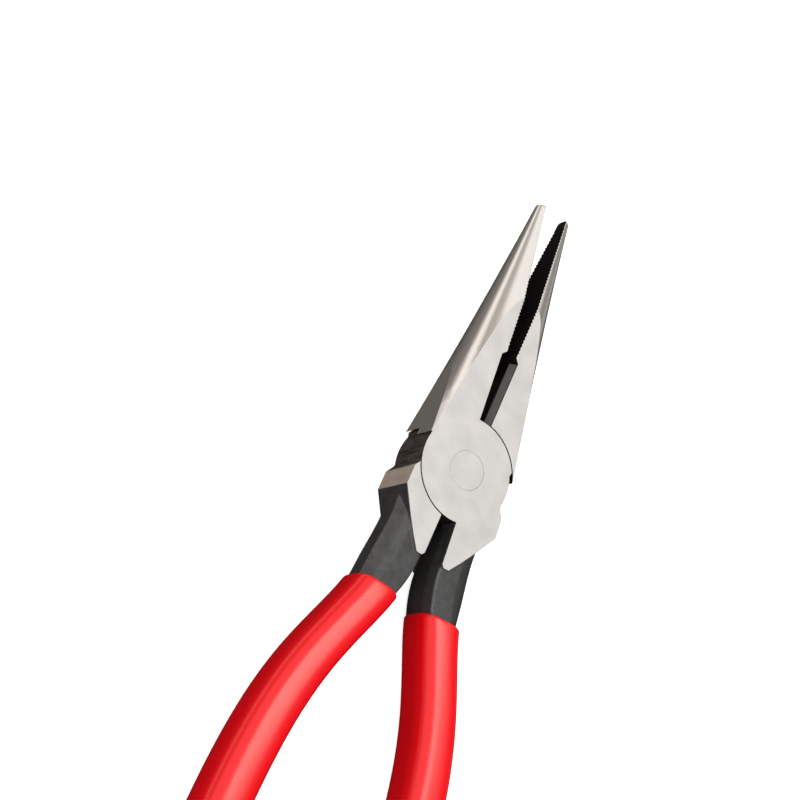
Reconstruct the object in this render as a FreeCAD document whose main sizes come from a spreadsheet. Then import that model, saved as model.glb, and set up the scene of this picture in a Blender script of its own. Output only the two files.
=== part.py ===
"""Long-nose pliers with a side cutter: two forged halves, the rivet they turn on and two dipped grips.

The tool lies flat. Z is the rivet's axis, with the origin on it at the back ground face.
+Y runs to the jaw tips and X lies across the tool. All sizes are in millimetres.
Each half is drawn as it stands when the jaws are shut, and its Placement opens it to rest.
The front half has its jaw at -X and its handle at +X. The back half is the same forging turned
over about Y, apart from the cutter, whose edges lie near the front face on both halves.
"""

import FreeCAD, Part
import math
import os

import Sketcher

SIZES = {
    # the joint, where each half is cut to half thickness and laps the other
    "thickness": 12.2,
    "lap_radius": 12.5,
    "lap_gap": 0.3,
    "lap_face_gap": 0.04,
    "lap_free_radius": 11.85,
    "ledge_relief": 0.75,
    "rest_opening": 2.6,
    # the jaw: a slab with straight flanks, turned to a long cone towards the tip
    "jaw_length": 73.5,
    "jaw_ledge": 4.0,
    "jaw_root_width": 12.15,
    "jaw_slab_width": 9.1,
    "jaw_slab_length": 30.0,
    "cone_root_radius": 13.75,
    "cone_tip_radius": 1.8,
    "cone_flank_radius": 1550.0,
    "tip_round": 0.95,
    "grip_face_gap": 0.03,
    # the cutter slot and its edges
    "slot_top": 30.1,
    "slot_step": 1.2,
    "slot_half_width": 1.15,
    "bevel_depth": 2.1,
    "bevel_land": 0.55,
    "edge_gap": 0.04,
    "relief_width": 3.4,
    # cross teeth on the gripping face
    "tooth_pitch": 1.0,
    "tooth_depth": 0.2,
    "tooth_land": 0.15,
    "tooth_start": 32.6,
    # the handle root, ground flush with the joint
    "shoulder_top": 5.7,
    "shoulder_width": 12.65,
    "shoulder_cut_width": 0.35,
    "shoulder_cut_height": 0.6,
    "shoulder_low": 11.1,
    "shoulder_notch": 11.1,
    "notch_height": 3.57,
    "tab_bulge_width": 8.6,
    "tab_bulge": 17.0,
    "tab_taper_width": 5.9,
    "tab_taper": 20.6,
    "tab_tip_width": 3.6,
    "tab_length": 23.4,
    "tab_inner": 1.6,
    "tab_end_width": 2.2,
    "tab_tip_rise": 0.7,
    "root_overlap": 2.0,
    # the neck and tang, which stand a little below the ground faces
    "neck_half_thickness": 5.2,
    "tang_end_half_thickness": 3.4,
    "neck_mid_height": 2.3,
    "inner_bevel": 0.8,
    "ridge_land": 0.7,
    "ridge_share": 0.25,
    # the grips, dipped so that their tops are square to the tool
    "collar": 33.8,
    "grip_end": 137.0,
    "grip_half_thickness": 6.1,
    "grip_corner": 3.8,
    "tang_clearance": 0.03,
    "collar_round": 0.8,
    "end_round": 3.5,
    # the rivet, headed over in both faces and ground flush
    "rivet_radius": 3.6,
    "rivet_head_radius": 4.6,
    "rivet_head_depth": 1.4,
    "rivet_fixed_gap": 0.02,
    "rivet_running_gap": 0.05,
}

# How far a cut's outline runs on past the solid that it cuts.
CUT_BEYOND = 1.0

# How far round the lap disc its full radius runs, and where the lower free side starts and ends.
LAP_DEGREES = {"full_start": 24.0, "full_end": -25.0, "free_start": -17.0, "free_end": 20.0}

# Distance below the joint, then the inner flank, the outer flank and the width of the bevel
# beside the outer flank, at even steps down the neck.
NECK_SECTIONS = [
    (9.0, 1.9, 12.2, 1.6),
    (15.2, 1.5, 11.2, 2.5),
    (21.4, 1.1, 11.3, 3.3),
    (27.6, 1.3, 11.9, 3.4),
    (33.8, 2.7, 12.3, 2.5),
    (40.0, 5.0, 13.6, 2.2),
]

# The same for the tang, which goes on from the neck inside the grip.
TANG_SECTIONS = [
    (40.0, 5.0, 13.6, 2.2),
    (53.0, 9.9, 17.9, 2.2),
    (66.0, 13.1, 20.7, 2.2),
    (79.0, 14.9, 22.1, 2.2),
    (92.0, 15.4, 22.4, 2.2),
    (105.0, 15.3, 21.9, 2.2),
    (118.0, 14.8, 21.0, 2.2),
    (131.0, 14.4, 20.2, 2.2),
]

# Distance below the joint, then the centre and the half width, at even steps down the grip.
GRIP_SECTIONS = [
    (33.8, 7.3, 5.65),
    (46.7, 11.7, 5.65),
    (59.6, 15.7, 5.65),
    (72.5, 17.9, 5.7),
    (85.4, 18.8, 5.75),
    (98.3, 18.85, 5.8),
    (111.2, 18.3, 5.9),
    (124.1, 17.6, 6.0),
    (137.0, 17.0, 6.0),
]


class Size:
    """A length that carries both its value and the spreadsheet expression it comes from."""

    def __init__(self, value, text):
        self.value = value
        self.text = text

    def _join(self, other, sign, value):
        other_text = other.text if isinstance(other, Size) else repr(float(other))
        return Size(value, f"({self.text} {sign} {other_text})")

    def __add__(self, other):
        return self._join(other, "+", self.value + number(other))

    def __sub__(self, other):
        return self._join(other, "-", self.value - number(other))

    def __mul__(self, other):
        return self._join(other, "*", self.value * number(other))

    def __truediv__(self, other):
        return self._join(other, "/", self.value / number(other))

    def __rsub__(self, other):
        return -self + other

    def __neg__(self):
        return self * -1


def number(value):
    return value.value if isinstance(value, Size) else float(value)


def make_sheet(doc):
    """Puts every driving dimension in the sheet and returns it as {name: Size}."""
    sheet = doc.addObject("Spreadsheet::Sheet", "Dims")
    table = dict(SIZES)
    for bar, sections in (("neck", NECK_SECTIONS), ("tang", TANG_SECTIONS)):
        for i, (drop, inner, outer, bevel) in enumerate(sections):
            table[f"{bar}_drop_{i}"] = drop
            table[f"{bar}_inner_{i}"] = inner
            table[f"{bar}_outer_{i}"] = outer
            table[f"{bar}_bevel_{i}"] = bevel
    for i, (drop, centre, half) in enumerate(GRIP_SECTIONS):
        table[f"grip_drop_{i}"] = drop
        table[f"grip_centre_{i}"] = centre
        table[f"grip_half_{i}"] = half
    for row, (name, value) in enumerate(table.items(), start=1):
        sheet.set(f"A{row}", name)
        sheet.set(f"B{row}", str(value))
        sheet.setAlias(f"B{row}", name)
    doc.recompute()
    return {name: Size(float(sheet.get(name)), f"Dims.{name}") for name in table}


def bind(feature, name, size):
    """Sets a property to a size and ties it to the sheet."""
    setattr(feature, name, number(size))
    if isinstance(size, Size):
        feature.setExpression(name, size.text)


def new_body(doc, name):
    body = doc.addObject("PartDesign::Body", name)
    body.Label = name
    return body


def new_sketch(body, name, plane, offset):
    """A sketch on one of the body's own planes, moved along that plane's normal."""
    sketch = body.newObject("Sketcher::SketchObject", name)
    support = [o for o in body.Origin.OriginFeatures if o.Role == plane][0]
    sketch.AttachmentSupport = (support, [""])
    sketch.MapMode = "FlatFace"
    sketch.AttachmentOffset = FreeCAD.Placement(
        FreeCAD.Vector(0, 0, number(offset)), FreeCAD.Rotation()
    )
    if isinstance(offset, Size):
        sketch.setExpression("AttachmentOffset.Base.z", offset.text)
    return sketch


def bowed(start, end, radius):
    """The middle of an arc from start to end that curves to the left of the way along it."""
    x, y = (number(a) for a in start)
    run, rise = number(end[0]) - x, number(end[1]) - y
    chord = math.hypot(run, rise)
    sag = radius.value - math.sqrt(radius.value**2 - chord**2 / 4)
    return (x + run / 2 - rise / chord * sag, y + rise / 2 + run / chord * sag)


def point_of(pair):
    return FreeCAD.Vector(number(pair[0]), number(pair[1]), 0)


def hold(sketch, geometry, end, pair):
    """Holds one end of a line or arc at a place measured from the sketch's origin."""
    for kind, size in (("DistanceX", pair[0]), ("DistanceY", pair[1])):
        index = sketch.addConstraint(
            Sketcher.Constraint(kind, -1, 1, geometry, end, number(size))
        )
        if isinstance(size, Size):
            sketch.setExpression(f"Constraints[{index}]", size.text)


def outline(sketch, corners, arcs=()):
    """Draws a closed outline through the corners.

    arcs gives {index of the corner it starts from: (a point it passes through, its radius)}.
    """
    arcs = dict(arcs)
    count = len(corners)
    for i, start in enumerate(corners):
        end = corners[(i + 1) % count]
        if i in arcs:
            through, radius = arcs[i]
            arc = Part.Arc(point_of(start), point_of(through), point_of(end))
            sketch.addGeometry(arc, False)
        else:
            sketch.addGeometry(Part.LineSegment(point_of(start), point_of(end)), False)
    for i, corner in enumerate(corners):
        before = (i - 1) % count
        ends = (before, end_at(sketch, before, corner), i, end_at(sketch, i, corner))
        sketch.addConstraint(Sketcher.Constraint("Coincident", *ends))
        hold(sketch, i, end_at(sketch, i, corner), corner)
    for i, (through, radius) in arcs.items():
        index = sketch.addConstraint(Sketcher.Constraint("Radius", i, number(radius)))
        sketch.setExpression(f"Constraints[{index}]", radius.text)


def end_at(sketch, geometry, pair):
    """Which end of this piece of geometry lies at the given place: 1 for its start, 2 for its end."""
    place = point_of(pair)
    start_gap = sketch.getPoint(geometry, 1).distanceToPoint(place)
    end_gap = sketch.getPoint(geometry, 2).distanceToPoint(place)
    return 1 if start_gap < end_gap else 2


def pad(body, name, sketch, length):
    feature = body.newObject("PartDesign::Pad", name)
    feature.Profile = sketch
    bind(feature, "Length", length)


def cut_check(body, doc, before, name):
    """A cut that points away from the solid removes nothing and says nothing, so the volume is compared."""
    doc.recompute()
    if not body.Shape.Volume < before - 1e-3:
        raise RuntimeError(f"{body.Label}: {name} removed nothing")


def pocket(doc, body, name, sketch, length, reverse):
    before = body.Shape.Volume
    feature = body.newObject("PartDesign::Pocket", name)
    feature.Profile = sketch
    feature.Reversed = reverse
    bind(feature, "Length", length)
    cut_check(body, doc, before, name)
    return feature


def groove(doc, body, name, sketch):
    before = body.Shape.Volume
    feature = body.newObject("PartDesign::Groove", name)
    feature.Profile = sketch
    feature.ReferenceAxis = (sketch, ["V_Axis"])
    feature.Angle = 360.0
    cut_check(body, doc, before, name)


def add_jaw(doc, body, d, side):
    """The jaw slab, then everything outside the long cone turned away."""
    face = d["grip_face_gap"] * -side
    corners = [
        (face, d["jaw_length"]),
        (d["jaw_slab_width"] * -side, d["jaw_length"]),
        (d["jaw_slab_width"] * -side, d["jaw_slab_length"]),
        (d["jaw_root_width"] * -side, d["jaw_ledge"]),
        (face, d["jaw_ledge"]),
    ]
    sketch = new_sketch(body, "JawOutline", "XY_Plane", 0)
    outline(sketch, corners)
    pad(body, "JawSlab", sketch, d["thickness"])
    doc.recompute()
    tip = d["jaw_length"]
    rim = d["tip_round"]
    radius = d["cone_tip_radius"]
    beyond = d["cone_root_radius"] + CUT_BEYOND
    low = d["jaw_ledge"] - CUT_BEYOND
    flank_ends = ((d["cone_root_radius"], low), (radius, tip - rim))
    bend = rim * (1 - math.sqrt(0.5))
    corners = [
        flank_ends[0],
        flank_ends[1],
        (radius - rim, tip),
        (radius - rim, tip + CUT_BEYOND),
        (beyond, tip + CUT_BEYOND),
        (beyond, low),
    ]
    arcs = {
        0: (bowed(*flank_ends, d["cone_flank_radius"]), d["cone_flank_radius"]),
        1: ((radius - bend, tip - bend), rim),
    }
    sketch = new_sketch(body, "ConeProfile", "XY_Plane", d["thickness"] / 2)
    outline(sketch, corners, arcs)
    groove(doc, body, "JawCone", sketch)


def on_circle(radius, degrees, side):
    """A place on a circle round the rivet's axis, on the side of the half it belongs to."""
    turn = math.radians(degrees)
    return (radius * math.cos(turn) * side, radius * math.sin(turn))


def add_lap(doc, body, d, side):
    """The half-thickness disc that turns against the other half, a little lower on its free side."""
    half = d["thickness"] / 2
    base = half + d["lap_face_gap"] / 2 if side > 0 else 0.0
    full = d["lap_radius"]
    free = d["lap_free_radius"]
    angle = LAP_DEGREES
    middle = (angle["free_start"] + angle["free_end"]) / 2
    corners = [
        on_circle(full, angle["full_start"], side),
        on_circle(full, angle["full_end"], side),
        on_circle(free, angle["free_start"], side),
        on_circle(free, angle["free_end"], side),
    ]
    arcs = {
        0: (on_circle(full, 180, side), full),
        2: (on_circle(free, middle, side), free),
    }
    sketch = new_sketch(body, "LapOutline", "XY_Plane", base)
    outline(sketch, corners, arcs)
    pad(body, "LapDisc", sketch, half - d["lap_face_gap"] / 2)
    doc.recompute()


def add_handle_root(doc, body, d, side):
    """The shoulder that stops the handles and the pointed tab below it, ground with the joint faces."""
    lap = d["root_overlap"]
    corners = [
        (d["shoulder_notch"] - lap, -d["notch_height"] + lap),
        (d["shoulder_notch"], -d["notch_height"]),
        (d["shoulder_width"] - d["shoulder_cut_width"], -d["shoulder_top"]),
        (d["shoulder_width"], -d["shoulder_top"] - d["shoulder_cut_height"]),
        (d["shoulder_width"], -d["shoulder_low"]),
        (d["tab_bulge_width"], -d["tab_bulge"]),
        (d["tab_taper_width"], -d["tab_taper"]),
        (d["tab_tip_width"], -d["tab_length"]),
        (d["tab_end_width"], -d["tab_length"]),
        (d["tab_inner"], -d["tab_length"] + d["tab_tip_rise"]),
        (d["tab_inner"], -d["lap_radius"] + lap),
    ]
    sketch = new_sketch(body, "RootOutline", "XY_Plane", 0)
    outline(sketch, [(x * side, y) for x, y in corners])
    pad(body, "HandleRoot", sketch, d["thickness"])
    doc.recompute()


def bar_corners(d, bar, index, thinning, side, grow):
    """One section of the neck or tang, in X and Z: bevelled, with each outer ridge broken in two."""
    inner = (d[f"{bar}_inner_{index}"] - grow) * side
    outer = (d[f"{bar}_outer_{index}"] + grow) * side
    bevel = d[f"{bar}_bevel_{index}"] * side
    middle = d["thickness"] / 2
    loss = (d["neck_half_thickness"] - d["tang_end_half_thickness"]) * thinning
    half = d["neck_half_thickness"] - loss + grow
    land = d["neck_mid_height"]
    inner_ridge = inner + d["inner_bevel"] * side
    face_end = outer - bevel - d["ridge_land"] * side
    slope_start = outer - bevel * (1 - d["ridge_share"])
    slope_height = half - (half - land) * d["ridge_share"]
    return [
        (inner, middle - land),
        (inner_ridge, middle - half),
        (face_end, middle - half),
        (slope_start, middle - slope_height),
        (outer, middle - land),
        (outer, middle + land),
        (slope_start, middle + slope_height),
        (face_end, middle + half),
        (inner_ridge, middle + half),
        (inner, middle + land),
    ]


def loft(body, kind, name, sketches):
    feature = body.newObject(f"PartDesign::{kind}", name)
    feature.Profile = sketches[0]
    feature.Sections = sketches[1:]
    return feature


def add_bar(doc, body, d, kind, side, grow):
    """The neck and the tang inside the grip, one forged bar: added to a half, or cut from a grip."""
    for bar, sections, taper in (("neck", NECK_SECTIONS, 0), ("tang", TANG_SECTIONS, 1)):
        sketches = []
        for i in range(len(sections)):
            sketch = new_sketch(body, f"{bar}_section_{i}", "XZ_Plane", d[f"{bar}_drop_{i}"])
            thinning = taper * i / (len(sections) - 1)
            outline(sketch, bar_corners(d, bar, i, thinning, side, grow))
            sketches.append(sketch)
        loft(body, kind, f"{bar}_bar", sketches)
        doc.recompute()


def cut_lap_recess(doc, body, d, side):
    """Clears the other half's disc out of the layer that it turns in."""
    level = d["thickness"] / 2 + d["lap_face_gap"] / 2 * side
    sketch = new_sketch(body, "RecessOutline", "XY_Plane", level)
    sketch.addGeometry(Part.Circle(FreeCAD.Vector(0, 0, 0), FreeCAD.Vector(0, 0, 1), 1), False)
    sketch.addConstraint(Sketcher.Constraint("Coincident", 0, 3, -1, 1))
    reach = d["lap_radius"] + (d["ledge_relief"] if side > 0 else d["lap_gap"])
    index = sketch.addConstraint(Sketcher.Constraint("Radius", 0, reach.value))
    sketch.setExpression(f"Constraints[{index}]", reach.text)
    pocket(doc, body, "LapRecess", sketch, d["thickness"], side < 0)


def cut_rivet_seat(doc, body, d, gap):
    """The countersunk hole, with the same gap all along the rivet."""
    sketch = new_sketch(body, "SeatProfile", "XZ_Plane", 0)
    shank = d["rivet_radius"] + gap
    head = d["rivet_head_radius"] + gap
    top = d["thickness"]
    outline(sketch, [
        (0.0, 0.0),
        (head, 0.0),
        (shank, d["rivet_head_depth"]),
        (shank, top - d["rivet_head_depth"]),
        (head, top),
        (0.0, top),
    ])
    groove(doc, body, "RivetSeat", sketch)


def cut_cutter(doc, body, d, side):
    """The cutter slot: bevelled to an edge near the front face, with a deep relief behind it."""
    front = d["thickness"]
    edge = d["edge_gap"]
    wall = d["slot_half_width"]
    sketch = new_sketch(body, "CutterProfile", "XZ_Plane", -d["slot_top"])
    corners = [
        (wall, front + CUT_BEYOND),
        (wall, front - d["bevel_land"]),
        (edge, front - d["bevel_depth"]),
        (d["relief_width"], -CUT_BEYOND),
        (-CUT_BEYOND, -CUT_BEYOND),
        (-CUT_BEYOND, front + CUT_BEYOND),
    ]
    outline(sketch, [(x * -side, z) for x, z in corners])
    pocket(doc, body, "CutterSlot", sketch, d["slot_top"] - d["lap_radius"], True)
    sketch = new_sketch(body, "SlotEnd", "XY_Plane", 0)
    mouth = CUT_BEYOND * side
    outline(sketch, [
        (mouth, d["slot_top"]),
        (wall * -side, d["slot_top"]),
        (d["grip_face_gap"] * -side, d["slot_top"] + d["slot_step"]),
        (mouth, d["slot_top"] + d["slot_step"]),
    ])
    pocket(doc, body, "SlotStep", sketch, d["thickness"], True)


def cut_teeth(doc, body, d, side):
    """Fine cross teeth along the gripping face."""
    depth = d["tooth_depth"]
    start = d["tooth_start"]
    run = d["jaw_length"] - d["tip_round"] - start
    count = int(run.value / d["tooth_pitch"].value)
    before = body.Shape.Volume
    sketch = new_sketch(body, "ToothOutline", "XY_Plane", 0)
    half = (d["tooth_pitch"] - d["tooth_land"]) / 2
    mouth = depth * side
    outline(sketch, [
        (mouth, start - half * 2),
        ((d["grip_face_gap"] + depth) * -side, start),
        (mouth, start + half * 2),
    ])
    tooth = pocket(doc, body, "Tooth", sketch, d["thickness"], True)
    pattern = body.newObject("PartDesign::LinearPattern", "Teeth")
    pattern.Originals = [tooth]
    pattern.Direction = (sketch, ["V_Axis"])
    pattern.Occurrences = count
    bind(pattern, "Length", d["tooth_pitch"] * (count - 1))
    body.Tip = pattern
    cut_check(body, doc, before, "Teeth")


def make_half(doc, d, name, side, rivet_gap):
    """side is 1 for the front half and -1 for the back half."""
    body = new_body(doc, name)
    add_jaw(doc, body, d, side)
    add_lap(doc, body, d, side)
    add_handle_root(doc, body, d, side)
    add_bar(doc, body, d, "AdditiveLoft", side, 0)
    cut_lap_recess(doc, body, d, side)
    cut_rivet_seat(doc, body, d, rivet_gap)
    cut_cutter(doc, body, d, side)
    cut_teeth(doc, body, d, side)
    open_to_rest(body, d, side)
    return body


def open_to_rest(item, d, side):
    """Turns a piece of one half about the rivet, from shut to the opening it is stored at."""
    turn = FreeCAD.Rotation(FreeCAD.Vector(0, 0, side), d["rest_opening"].value)
    item.Placement = FreeCAD.Placement(FreeCAD.Vector(0, 0, 0), turn)


def make_rivet(doc, d):
    body = new_body(doc, "pivot_rivet")
    sketch = new_sketch(body, "RivetProfile", "XZ_Plane", 0)
    top = d["thickness"]
    outline(sketch, [
        (0.0, 0.0),
        (d["rivet_head_radius"], 0.0),
        (d["rivet_radius"], d["rivet_head_depth"]),
        (d["rivet_radius"], top - d["rivet_head_depth"]),
        (d["rivet_head_radius"], top),
        (0.0, top),
    ])
    feature = body.newObject("PartDesign::Revolution", "Rivet")
    feature.Profile = sketch
    feature.ReferenceAxis = (sketch, ["V_Axis"])
    feature.Angle = 360.0
    doc.recompute()
    return body


def rounded_section(sketch, left, right, low, high, corner, side):
    """A rectangle with round corners, in X and Z."""
    bend = corner * (1 - math.sqrt(0.5))
    corners = [
        (left + corner, low),
        (right - corner, low),
        (right, low + corner),
        (right, high - corner),
        (right - corner, high),
        (left + corner, high),
        (left, high - corner),
        (left, low + corner),
    ]
    arcs = {
        1: ((right - bend, low + bend), corner),
        3: ((right - bend, high - bend), corner),
        5: ((left + bend, high - bend), corner),
        7: ((left + bend, low + bend), corner),
    }
    outline(
        sketch,
        [(x * side, z) for x, z in corners],
        {i: ((x * side, z), radius) for i, ((x, z), radius) in arcs.items()},
    )


def round_rim(doc, body, base, name, height, radius):
    """Rounds the edges that lie in the plane Y = height."""
    names = [
        f"Edge{i}"
        for i, edge in enumerate(base.Shape.Edges, start=1)
        if abs(edge.BoundBox.YMin - height) < 1e-4 and abs(edge.BoundBox.YMax - height) < 1e-4
    ]
    feature = body.newObject("PartDesign::Fillet", name)
    feature.Base = (base, names)
    bind(feature, "Radius", radius)
    doc.recompute()
    return feature


def make_grip(doc, d, name, side):
    """A dipped sleeve, closed at the end, with the tang's shape inside."""
    body = new_body(doc, name)
    middle = d["thickness"] / 2
    low = middle - d["grip_half_thickness"]
    high = middle + d["grip_half_thickness"]
    sketches = []
    for i in range(len(GRIP_SECTIONS)):
        sketch = new_sketch(body, f"GripSection{i}", "XZ_Plane", d[f"grip_drop_{i}"])
        left = d[f"grip_centre_{i}"] - d[f"grip_half_{i}"]
        right = d[f"grip_centre_{i}"] + d[f"grip_half_{i}"]
        rounded_section(sketch, left, right, low, high, d["grip_corner"], side)
        sketches.append(sketch)
    skin = loft(body, "AdditiveLoft", "Skin", sketches)
    doc.recompute()
    end = round_rim(doc, body, skin, "RoundEnd", -d["grip_end"].value, d["end_round"])
    round_rim(doc, body, end, "RoundCollar", -d["collar"].value, d["collar_round"])
    before = body.Shape.Volume
    add_bar(doc, body, d, "SubtractiveLoft", side, d["tang_clearance"])
    cut_check(body, doc, before, "the tang's bore")
    open_to_rest(body, d, side)
    return body


def check(doc, parts):
    for item in doc.Objects:
        if "Invalid" in item.State or "Error" in item.State:
            raise RuntimeError(f"{item.Name} is not valid: {item.State}")
    for part in parts:
        shape = part.Shape
        if shape.isNull() or not shape.isValid() or len(shape.Solids) != 1:
            raise RuntimeError(f"{part.Label} is not one valid solid")


def main():
    doc = FreeCAD.newDocument("LongNosePliers")
    d = make_sheet(doc)
    parts = [
        make_half(doc, d, "front_half", 1, d["rivet_fixed_gap"]),
        make_half(doc, d, "back_half", -1, d["rivet_running_gap"]),
        make_rivet(doc, d),
        make_grip(doc, d, "right_grip", 1),
        make_grip(doc, d, "left_grip", -1),
    ]
    doc.recompute()
    check(doc, parts)
    os.makedirs("parts", exist_ok=True)
    for part in parts:
        part.Shape.exportStep(f"parts/{part.Label}.step")
        box = part.Shape.BoundBox
        print(part.Label, f"{part.Shape.Volume:.0f} mm3, {len(part.Shape.Faces)} faces,", box)


main()
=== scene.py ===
import math

import bmesh
import bpy
from mathutils import Matrix, Vector


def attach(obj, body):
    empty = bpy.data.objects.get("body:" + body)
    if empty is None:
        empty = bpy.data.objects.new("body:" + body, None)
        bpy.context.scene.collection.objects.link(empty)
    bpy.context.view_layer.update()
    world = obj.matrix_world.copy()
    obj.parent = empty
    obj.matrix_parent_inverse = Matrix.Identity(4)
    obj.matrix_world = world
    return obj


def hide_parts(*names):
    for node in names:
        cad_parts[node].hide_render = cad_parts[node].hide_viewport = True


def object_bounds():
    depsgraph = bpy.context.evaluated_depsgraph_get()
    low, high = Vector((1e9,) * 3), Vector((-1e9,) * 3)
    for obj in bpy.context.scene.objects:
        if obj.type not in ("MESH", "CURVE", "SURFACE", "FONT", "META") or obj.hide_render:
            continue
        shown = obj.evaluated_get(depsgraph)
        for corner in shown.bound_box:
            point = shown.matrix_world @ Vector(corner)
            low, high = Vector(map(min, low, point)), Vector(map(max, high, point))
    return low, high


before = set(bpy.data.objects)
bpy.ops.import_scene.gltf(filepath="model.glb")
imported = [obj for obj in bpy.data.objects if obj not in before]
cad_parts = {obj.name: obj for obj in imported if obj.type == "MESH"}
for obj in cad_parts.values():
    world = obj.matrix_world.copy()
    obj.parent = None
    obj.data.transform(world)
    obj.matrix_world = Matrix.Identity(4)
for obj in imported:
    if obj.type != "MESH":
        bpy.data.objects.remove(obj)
cad_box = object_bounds()

MM = 0.001
# The tool's thickness in millimetres, and how far each half is turned from its place when shut.
THICKNESS = (cad_box[1][2] - cad_box[0][2]) / MM
REST_TURN = math.radians(2.6)


# ---------------------------------------------------------------- materials

def opaque(colour):
    """A colour, or a grey given as one number, with full alpha."""
    return (*colour, 1) if isinstance(colour, tuple) else (colour, colour, colour, 1)


class Nodes:
    """Short calls for building a node tree. Where a call takes a value, it also takes a socket."""

    def __init__(self, tree):
        self.tree = tree

    def add(self, kind, **settings):
        node = self.tree.nodes.new(f"ShaderNode{kind}")
        for key, value in settings.items():
            setattr(node, key, value)
        return node

    def put(self, value, socket):
        """Sets a socket, or links it when the value is another node's output."""
        if isinstance(value, bpy.types.NodeSocket):
            self.tree.links.new(value, socket)
        elif socket.type == "RGBA":
            socket.default_value = opaque(value)
        else:
            socket.default_value = value

    def ramp(self, value, stops):
        """stops is a list of (position, colour or grey)."""
        node = self.add("ValToRGB")
        self.put(value, node.inputs["Fac"])
        elements = node.color_ramp.elements
        while len(elements) < len(stops):
            elements.new(0.5)
        for element, (position, colour) in zip(elements, stops):
            element.position = position
            element.color = opaque(colour)
        return node.outputs["Color"]

    def math(self, operation, a, b):
        node = self.add("Math", operation=operation)
        self.put(a, node.inputs[0])
        self.put(b, node.inputs[1])
        return node.outputs[0]

    def spread(self, value, low, high, start=0.0):
        """Maps start..1 to low..high."""
        node = self.add("MapRange")
        self.put(value, node.inputs["Value"])
        node.inputs["From Min"].default_value = start
        node.inputs["To Min"].default_value = low
        node.inputs["To Max"].default_value = high
        return node.outputs["Result"]

    def blend(self, factor, a, b, mode="MIX"):
        node = self.add("Mix", data_type="RGBA", blend_type=mode)
        self.put(factor, node.inputs["Factor"])
        colours = [socket for socket in node.inputs if socket.type == "RGBA"]
        self.put(a, colours[0])
        self.put(b, colours[1])
        return [socket for socket in node.outputs if socket.type == "RGBA"][0]


class Surface(Nodes):
    """A material, with textures that are placed on the object."""

    def __init__(self, name):
        self.material = bpy.data.materials.new(name)
        self.material.use_nodes = True
        super().__init__(self.material.node_tree)
        self.shader = self.tree.nodes["Principled BSDF"]
        self.place = self.tree.nodes.new("ShaderNodeTexCoord").outputs["Object"]

    def scaled(self, scale, turn=0.0):
        """The place on the object, stretched so that noise turns to grain."""
        node = self.add("Mapping")
        self.put(self.place, node.inputs["Vector"])
        node.inputs["Scale"].default_value = scale
        node.inputs["Rotation"].default_value = (0, 0, turn)
        return node.outputs["Vector"]

    def noise(self, scale, vector=None, detail=4.0, roughness=0.55):
        node = self.add("TexNoise")
        self.put(vector or self.place, node.inputs["Vector"])
        node.inputs["Scale"].default_value = scale
        node.inputs["Detail"].default_value = detail
        node.inputs["Roughness"].default_value = roughness
        return node.outputs["Fac"]

    def bump(self, height, strength, distance, normal=None):
        node = self.add("Bump")
        node.inputs["Strength"].default_value = strength
        node.inputs["Distance"].default_value = distance
        self.put(height, node.inputs["Height"])
        if normal:
            self.put(normal, node.inputs["Normal"])
        return node.outputs["Normal"]

    def soft_edge(self, radius):
        """The direction that the face would have if its edges were rounded."""
        node = self.add("Bevel", samples=6)
        node.inputs["Radius"].default_value = radius
        return node.outputs["Normal"]

    def edge_mask(self, soft, low, high):
        """1 where the softened normal leaves the face's own, so along an edge."""
        facing = self.add("VectorMath", operation="DOT_PRODUCT")
        self.put(soft, facing.inputs[0])
        self.put(self.add("NewGeometry").outputs["Normal"], facing.inputs[1])
        return self.ramp(self.math("SUBTRACT", 1.0, facing.outputs["Value"]), [(low, 0.0), (high, 1.0)])

    def finish(self, colour, roughness, normal, metallic=0.0, specular=0.5):
        self.put(colour, self.shader.inputs["Base Color"])
        self.put(roughness, self.shader.inputs["Roughness"])
        self.put(normal, self.shader.inputs["Normal"])
        self.shader.inputs["Metallic"].default_value = metallic
        self.shader.inputs["Specular IOR Level"].default_value = specular
        return self.material


def ground_steel():
    """The flush joint faces: surface-ground, with fine straight grain and faint clouding."""
    n = Surface("ground_steel")
    grain = n.noise(1.0, n.scaled((260, 5200, 260), math.radians(28)), detail=6.0)
    cloud = n.noise(170.0, detail=3.0)
    colour = n.blend(grain, (0.62, 0.60, 0.585), (0.78, 0.76, 0.745))
    colour = n.blend(n.ramp(cloud, [(0.35, 0.0), (0.70, 0.6)]), colour, (0.58, 0.565, 0.55))
    soft = n.soft_edge(0.16 * MM)
    colour = n.blend(n.edge_mask(soft, 0.01, 0.12), colour, (0.88, 0.87, 0.85))
    rough = n.spread(n.blend(0.5, grain, cloud), 0.27, 0.45)
    return n.finish(colour, rough, n.bump(grain, 0.12, 0.02 * MM, soft), metallic=1.0)


def satin_steel():
    """The jaws' flanks: belt-polished along their length, darker where the belt lifts off."""
    n = Surface("satin_steel")
    grain = n.noise(1.0, n.scaled((4200, 230, 4200)), detail=6.0)
    cloud = n.noise(130.0, detail=3.0)
    colour = n.blend(grain, (0.66, 0.635, 0.61), (0.78, 0.76, 0.735))
    colour = n.blend(n.spread(cloud, 0.0, 0.5), colour, (0.66, 0.63, 0.60))
    soft = n.soft_edge(0.18 * MM)
    rough = n.spread(n.blend(0.5, grain, cloud), 0.10, 0.26)
    return n.finish(colour, rough, n.bump(grain, 0.08, 0.015 * MM, soft), metallic=0.72)


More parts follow.
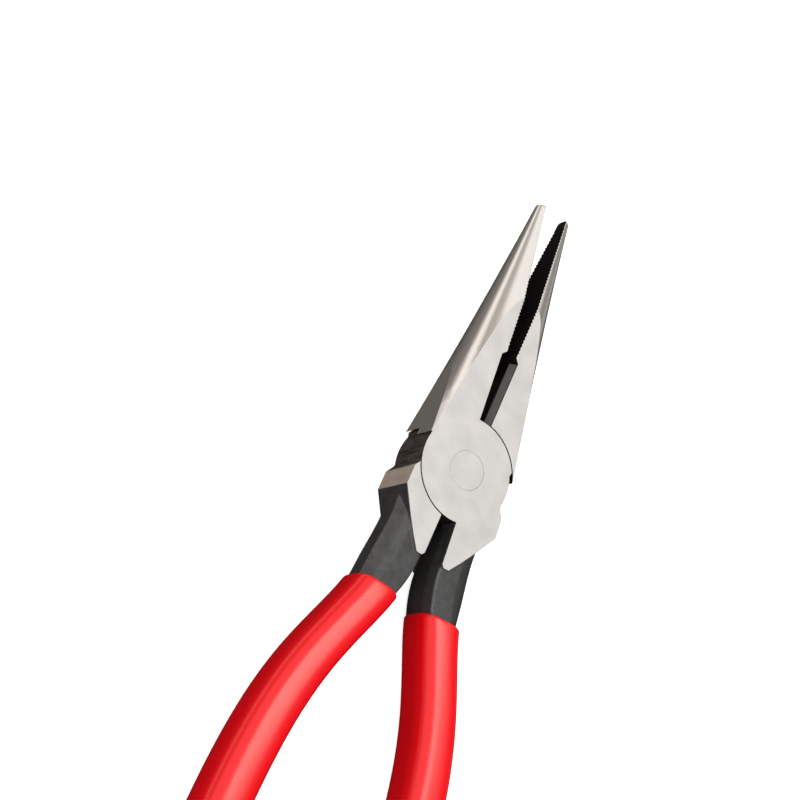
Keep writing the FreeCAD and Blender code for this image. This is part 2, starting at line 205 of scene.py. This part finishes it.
def bronzed_steel():
    """The shoulder's side, where the colour of the heat treatment was left between ground faces."""
    n = Surface("bronzed_steel")
    grain = n.noise(1.0, n.scaled((500, 500, 4200)), detail=5.0)
    cloud = n.noise(420.0, detail=4.0)
    tint = n.ramp(cloud, [(0.35, 0.0), (0.65, 1.0)])
    colour = n.blend(tint, (0.52, 0.39, 0.34), (0.60, 0.57, 0.45))
    colour = n.blend(n.spread(grain, 0.0, 0.5), colour, (0.54, 0.50, 0.46))
    soft = n.soft_edge(0.18 * MM)
    rough = n.spread(grain, 0.32, 0.55)
    return n.finish(colour, rough, n.bump(grain, 0.2, 0.02 * MM, soft), metallic=0.35)


def black_oxide():
    """The necks: as forged and blacked, with scale in the surface and thin wear on the ridges."""
    n = Surface("black_oxide")
    scale = n.noise(1500.0, detail=6.0, roughness=0.65)
    dents = n.noise(420.0, detail=3.0)
    colour = n.blend(scale, (0.052, 0.053, 0.055), (0.118, 0.119, 0.120))
    colour = n.blend(n.ramp(dents, [(0.42, 0.0), (0.68, 0.6)]), colour, (0.055, 0.052, 0.05))
    soft = n.soft_edge(1.1 * MM)
    rubbed = n.ramp(scale, [(0.35, 0.2), (0.62, 1.0)])
    worn = n.math("MULTIPLY", n.edge_mask(soft, 0.015, 0.10), rubbed)
    colour = n.blend(n.math("MULTIPLY", worn, 0.55), colour, (0.26, 0.26, 0.255))
    rough = n.spread(n.blend(0.5, scale, dents), 0.30, 0.58)
    first = n.bump(dents, 0.25, 0.06 * MM, soft)
    return n.finish(colour, rough, n.bump(scale, 0.22, 0.03 * MM, first), metallic=0.55)


def blacked_steel():
    """Gripping faces, slot walls and recesses: machined, then blacked and oily."""
    n = Surface("blacked_steel")
    grain = n.noise(1.0, n.scaled((700, 700, 3800)), detail=5.0)
    cloud = n.noise(700.0, detail=4.0)
    colour = n.blend(cloud, (0.010, 0.009, 0.009), (0.030, 0.028, 0.026))
    soft = n.soft_edge(0.12 * MM)
    colour = n.blend(n.math("MULTIPLY", n.edge_mask(soft, 0.02, 0.2), 0.25), colour, (0.20, 0.19, 0.18))
    rough = n.spread(grain, 0.34, 0.60)
    return n.finish(colour, rough, n.bump(grain, 0.2, 0.015 * MM, soft), metallic=0.5)


def honed_steel():
    """The cutter's bevel, ground along the edge after hardening."""
    n = Surface("honed_steel")
    grain = n.noise(1.0, n.scaled((5200, 300, 5200)), detail=5.0)
    cloud = n.noise(500.0, detail=3.0)
    colour = n.blend(grain, (0.11, 0.108, 0.103), (0.20, 0.198, 0.188))
    soft = n.soft_edge(0.1 * MM)
    rough = n.spread(n.blend(0.5, grain, cloud), 0.28, 0.48)
    return n.finish(colour, rough, n.bump(grain, 0.15, 0.01 * MM, soft), metallic=0.35)


def rim_steel():
    """The lap discs' rims: turned, blacked and rubbed, with streaks across the rim."""
    n = Surface("rim_steel")
    streaks = n.noise(1.0, n.scaled((1300, 1300, 90)), detail=5.0)
    cloud = n.noise(600.0, detail=3.0)
    streak = n.ramp(streaks, [(0.36, 0.0), (0.64, 1.0)])
    colour = n.blend(streak, (0.045, 0.036, 0.034), (0.13, 0.112, 0.105))
    soft = n.soft_edge(0.12 * MM)
    rough = n.spread(n.blend(0.5, streaks, cloud), 0.32, 0.55)
    return n.finish(colour, rough, n.bump(streaks, 0.2, 0.015 * MM, soft), metallic=0.35)


def red_vinyl():
    """Dipped vinyl: glossy, with the slow waves and fine peel of a coat that ran before it set."""
    n = Surface("red_vinyl")
    waves = n.noise(55.0, detail=2.0)
    peel = n.noise(900.0, detail=3.0)
    colour = n.blend(waves, (0.71, 0.0010, 0.006), (0.79, 0.003, 0.009))
    dust = n.noise(2600.0, detail=2.0)
    colour = n.blend(n.ramp(dust, [(0.68, 0.0), (0.82, 0.10)]), colour, (0.62, 0.02, 0.025))
    rough = n.spread(n.blend(0.5, peel, waves), 0.17, 0.30)
    first = n.bump(waves, 0.15, 0.5 * MM)
    return n.finish(colour, rough, n.bump(peel, 0.06, 0.03 * MM, first), specular=0.42)


# ---------------------------------------------------------------- the halves' finishes

GROUND, SATIN, BRONZE, OXIDE, BLACKED, HONED, RIM = range(7)
steels = [
    ground_steel(),
    satin_steel(),
    bronzed_steel(),
    black_oxide(),
    blacked_steel(),
    honed_steel(),
    rim_steel(),
]

# Where each finish ends, in millimetres, on a half as it stands with the jaws shut. A reach is a
# distance from the rivet's axis, a side is across the tool, a start or an end is along it, and a
# depth is below a ground face.
GROUND_DEPTH = 0.06
LAP_REACH = 13.6
RIM_REACH = 12.7
RIM_SHOWN_SIDE = 8.0
SHOULDER_SIDE = 10.8
SHOULDER_START, SHOULDER_END = -11.2, -6.0
JAW_START = 3.9
JAW_SIDE = 0.5
LEDGE_END = 4.2
RECESS_REACH = 13.5
TEETH_START = 31.0
TEETH_SIDE = -0.9
SLOT_START, SLOT_END = 12.5, 31.5
SLOT_SIDE = -3.6
BEVEL_DEPTH = 2.2
BEVEL_END = 30.0

# Limits on one component of a face's direction.
LEVEL = 0.97
UPRIGHT = 0.1
BACKWARD = -0.9
INWARD = 0.3
NOT_OUTWARD = -0.2


def jaw_zone(place, facing, reach):
    """The finish of a face of the jaw. facing.x is positive towards the other jaw."""
    ledge = place.y < LEDGE_END and facing.y < BACKWARD
    towards_rivet = facing.x * place.x + facing.y * place.y < 0
    recess = reach < RECESS_REACH and abs(facing.z) < UPRIGHT and towards_rivet
    teeth = place.y > TEETH_START and place.x > TEETH_SIDE and facing.x > INWARD
    if ledge or recess or teeth:
        return BLACKED
    if SLOT_START < place.y < SLOT_END and place.x > SLOT_SIDE and facing.x > NOT_OUTWARD:
        near_front = place.z > THICKNESS - BEVEL_DEPTH
        return HONED if near_front and facing.x > INWARD and place.y < BEVEL_END else BLACKED
    return SATIN


def zone(place, facing):
    """Which finish a face of a half has, from its middle and its direction with the jaws shut.

    x is negative on the jaw's side of the half and positive on the handle's side, y runs to the
    tips, and z from the back of the tool to its front.
    """
    reach = math.hypot(place.x, place.y)
    level = abs(facing.z) > LEVEL
    upright = abs(facing.z) < UPRIGHT
    if level and (place.z < GROUND_DEPTH or place.z > THICKNESS - GROUND_DEPTH):
        return GROUND
    if level and reach < LAP_REACH:
        return BLACKED
    if place.y > JAW_START and place.x < JAW_SIDE:
        return jaw_zone(place, facing, reach)
    if upright and place.x > SHOULDER_SIDE and SHOULDER_START < place.y < SHOULDER_END:
        return BRONZE
    if upright and reach < RIM_REACH:
        return RIM if abs(place.x) > RIM_SHOWN_SIDE else BLACKED
    return OXIDE


def finish_half(name, side):
    """Gives each face of a half its finish, reading the mesh but not changing its shape."""
    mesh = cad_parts[name].data
    mesh.materials.clear()
    for steel in steels:
        mesh.materials.append(steel)
    shut = Matrix.Diagonal((side, 1, 1)) @ Matrix.Rotation(-REST_TURN * side, 3, "Z")
    for face in mesh.polygons:
        face.material_index = zone(shut @ face.center / MM, shut @ face.normal)


finish_half("front_half", 1)
finish_half("back_half", -1)
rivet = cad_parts["pivot_rivet"].data
rivet.materials.clear()
rivet.materials.append(steels[GROUND])


# ---------------------------------------------------------------- grips

COLLAR_ROUND = 0.8 * MM
END_ROUND = 3.5 * MM
RIM_STEPS = 7
LENGTH_STEPS = 44
RING_POINTS = 80
SECTION_POWER = 3.0
# The first and the last slice are cut this far inside the sleeve's ends, where there is a section.
END_INSET = 0.01 * MM


def slice_extents(mesh, along):
    """The middle and half size, across and up, of the mesh where it is cut square at this length."""
    piece = mesh.copy()
    everything = piece.verts[:] + piece.edges[:] + piece.faces[:]
    cut = bmesh.ops.bisect_plane(piece, geom=everything, plane_co=(0, along, 0), plane_no=(0, 1, 0))
    points = [v.co for v in cut["geom_cut"] if isinstance(v, bmesh.types.BMVert)]
    low = Vector([min(p[axis] for p in points) for axis in (0, 2)])
    high = Vector([max(p[axis] for p in points) for axis in (0, 2)])
    piece.free()
    return (low + high) / 2, (high - low) / 2


def slice_places(low, high):
    """Even steps along the grip, with closer ones over the rounded rims at its two ends."""
    places = []
    for end, inward, radius in ((low, 1, END_ROUND), (high, -1, COLLAR_ROUND)):
        for step in range(RIM_STEPS):
            depth = radius * (1 - math.cos(math.pi / 2 * step / (RIM_STEPS - 1)))
            places.append(end + inward * max(depth, END_INSET))
    start, stop = low + END_ROUND, high - COLLAR_ROUND
    places += [start + (stop - start) * step / LENGTH_STEPS for step in range(1, LENGTH_STEPS)]
    return sorted(places)


def crowned_ring(middle, half, along):
    """The points of one section: a superellipse of the slice's own size."""
    ring = []
    for step in range(RING_POINTS):
        angle = math.tau * step / RING_POINTS
        across, up = (
            math.copysign(abs(value) ** (2 / SECTION_POWER), value)
            for value in (math.cos(angle), math.sin(angle))
        )
        ring.append((middle.x + half.x * across, along, middle.y + half.y * up))
    return ring


def close_rings(skin, rings):
    """Walls between the rings, shaded smooth, and a flat face over each end."""
    for ring, after in zip(rings, rings[1:]):
        for i in range(RING_POINTS):
            j = (i + 1) % RING_POINTS
            wall = skin.faces.new((ring[i], ring[j], after[j], after[i]))
            wall.smooth = True
    skin.faces.new(rings[0])
    skin.faces.new(reversed(rings[-1]))
    bmesh.ops.recalc_face_normals(skin, faces=skin.faces[:])


def make_grip(node, body, side, vinyl):
    """The dipped grip: the CAD sleeve's own path and size, with a softly crowned section."""
    turn = Matrix.Rotation(REST_TURN * side, 4, "Z")
    sleeve = bmesh.new()
    sleeve.from_mesh(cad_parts[node].data)
    sleeve.transform(turn.inverted())
    lengths = [v.co.y for v in sleeve.verts]
    skin = bmesh.new()
    rings = []
    for along in slice_places(min(lengths), max(lengths)):
        middle, half = slice_extents(sleeve, along)
        rings.append([skin.verts.new(point) for point in crowned_ring(middle, half, along)])
    close_rings(skin, rings)
    skin.transform(turn)
    mesh = bpy.data.meshes.new(f"{node}_skin")
    skin.to_mesh(mesh)
    skin.free()
    sleeve.free()
    mesh.materials.append(vinyl)
    grip = bpy.data.objects.new(f"{node}_skin", mesh)
    bpy.context.scene.collection.objects.link(grip)
    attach(grip, body)
    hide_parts(node)
    return grip


vinyl = red_vinyl()
grips = [make_grip("right_grip", "front", 1, vinyl), make_grip("left_grip", "back", -1, vinyl)]


# ---------------------------------------------------------------- floor, light and camera

FLOOR_SIZE = 6.0
FLOOR_DROP = 0.2 * MM
FLOOR_GLOW = 0.75
WORLD_STRENGTH = 1.35
LAMP_COLOUR = (1.0, 0.98, 0.84)
SENSOR_WIDTH = 36
CLIP_START = 0.01


def make_floor():
    """White paper just under the tool. It glows a little, and neither mirrors nor lights the tool."""
    n = Surface("floor_paper")
    fibre = n.noise(240.0, detail=5.0)
    n.shader.inputs["Emission Color"].default_value = (1, 1, 1, 1)
    n.shader.inputs["Emission Strength"].default_value = FLOOR_GLOW
    colour = n.blend(fibre, (0.90, 0.90, 0.90), (0.94, 0.94, 0.94))
    paper = n.finish(colour, 0.9, n.bump(fibre, 0.05, 0.05 * MM))
    bpy.ops.mesh.primitive_plane_add(size=FLOOR_SIZE, location=(0, 0, -FLOOR_DROP))
    floor = bpy.context.object
    floor.name = "floor"
    floor.data.materials.append(paper)
    floor.visible_glossy = False
    floor.visible_diffuse = False


def make_world():
    """A studio tent, by the direction looked in.

    From the ground up it is dark, then bright just under the horizon, grey above it, and bright
    again overhead. On the +X side it is open and much darker.
    """
    world = bpy.data.worlds.new("studio")
    bpy.context.scene.world = world
    world.use_nodes = True
    n = Nodes(world.node_tree)
    direction = n.add("SeparateXYZ")
    n.put(n.add("TexCoord").outputs["Generated"], direction.inputs[0])
    tent = n.ramp(n.spread(direction.outputs["Z"], 0.0, 1.0, start=-1.0), [
        (0.00, (0.015, 0.013, 0.012)),
        (0.13, (0.020, 0.018, 0.016)),
        (0.19, (0.050, 0.040, 0.036)),
        (0.32, (0.055, 0.043, 0.037)),
        (0.38, (0.45, 0.41, 0.38)),
        (0.415, (1.00, 0.95, 0.92)),
        (0.49, (1.00, 0.95, 0.91)),
        (0.56, (0.29, 0.26, 0.22)),
        (0.70, (0.37, 0.34, 0.30)),
        (0.78, (0.96, 0.93, 0.89)),
        (1.00, 0.95),
    ])
    sides = n.ramp(n.spread(direction.outputs["X"], 0.0, 1.0, start=-1.0), [
        (0.00, 1.15),
        (0.50, 0.97),
        (0.75, 0.97),
        (0.84, 0.28),
    ])
    back = n.tree.nodes["Background"]
    n.put(n.blend(1.0, tent, sides, mode="MULTIPLY"), back.inputs["Color"])
    back.inputs["Strength"].default_value = WORLD_STRENGTH


def make_softbox(lit, target, direction, distance, size, power):
    """A square lamp that gives the objects in lit their highlight, and lights nothing else."""
    data = bpy.data.lights.new("softbox", "AREA")
    data.size = size
    data.energy = power
    data.color = LAMP_COLOUR
    softbox = bpy.data.objects.new("softbox", data)
    direction = Vector(direction).normalized()
    softbox.location = Vector(target) + direction * distance
    softbox.rotation_euler = direction.to_track_quat("Z", "Y").to_euler()
    bpy.context.scene.collection.objects.link(softbox)
    receivers = bpy.data.collections.new("lit_by_softbox")
    for item in lit:
        receivers.objects.link(item)
    softbox.light_linking.receiver_collection = receivers


def make_camera(target, distance, azimuth, elevation, roll, lens):
    """Looks at target along the azimuth (from +Y towards +X), down by the elevation, then rolled."""
    azimuth, elevation, roll = (math.radians(a) for a in (azimuth, elevation, roll))
    flat = math.cos(elevation)
    ahead = Vector((math.sin(azimuth) * flat, math.cos(azimuth) * flat, -math.sin(elevation)))
    level = ahead.cross(Vector((0, 0, 1))).normalized()
    right = level * math.cos(roll) + level.cross(ahead) * math.sin(roll)
    up = right.cross(ahead)
    camera = bpy.data.objects.new("camera", bpy.data.cameras.new("camera"))
    camera.data.lens = lens
    camera.data.sensor_width = SENSOR_WIDTH
    camera.data.clip_start = CLIP_START
    turn = Matrix((right, up, -ahead)).transposed().to_4x4()
    camera.matrix_world = Matrix.Translation(Vector(target) - ahead * distance) @ turn
    bpy.context.scene.collection.objects.link(camera)
    bpy.context.scene.camera = camera


make_floor()
make_world()
make_softbox(
    grips,
    target=(-0.02, -0.08, 0.01),
    direction=(0.26, 0.33, 0.91),
    distance=0.8,
    size=0.36,
    power=2.3,
)
make_camera(
    target=(-0.0195, 0.0084, 0.0061),
    distance=0.429,
    azimuth=45.64,
    elevation=55.05,
    roll=73.45,
    lens=85.2,
)
bpy.context.scene.view_settings.view_transform = "Standard"
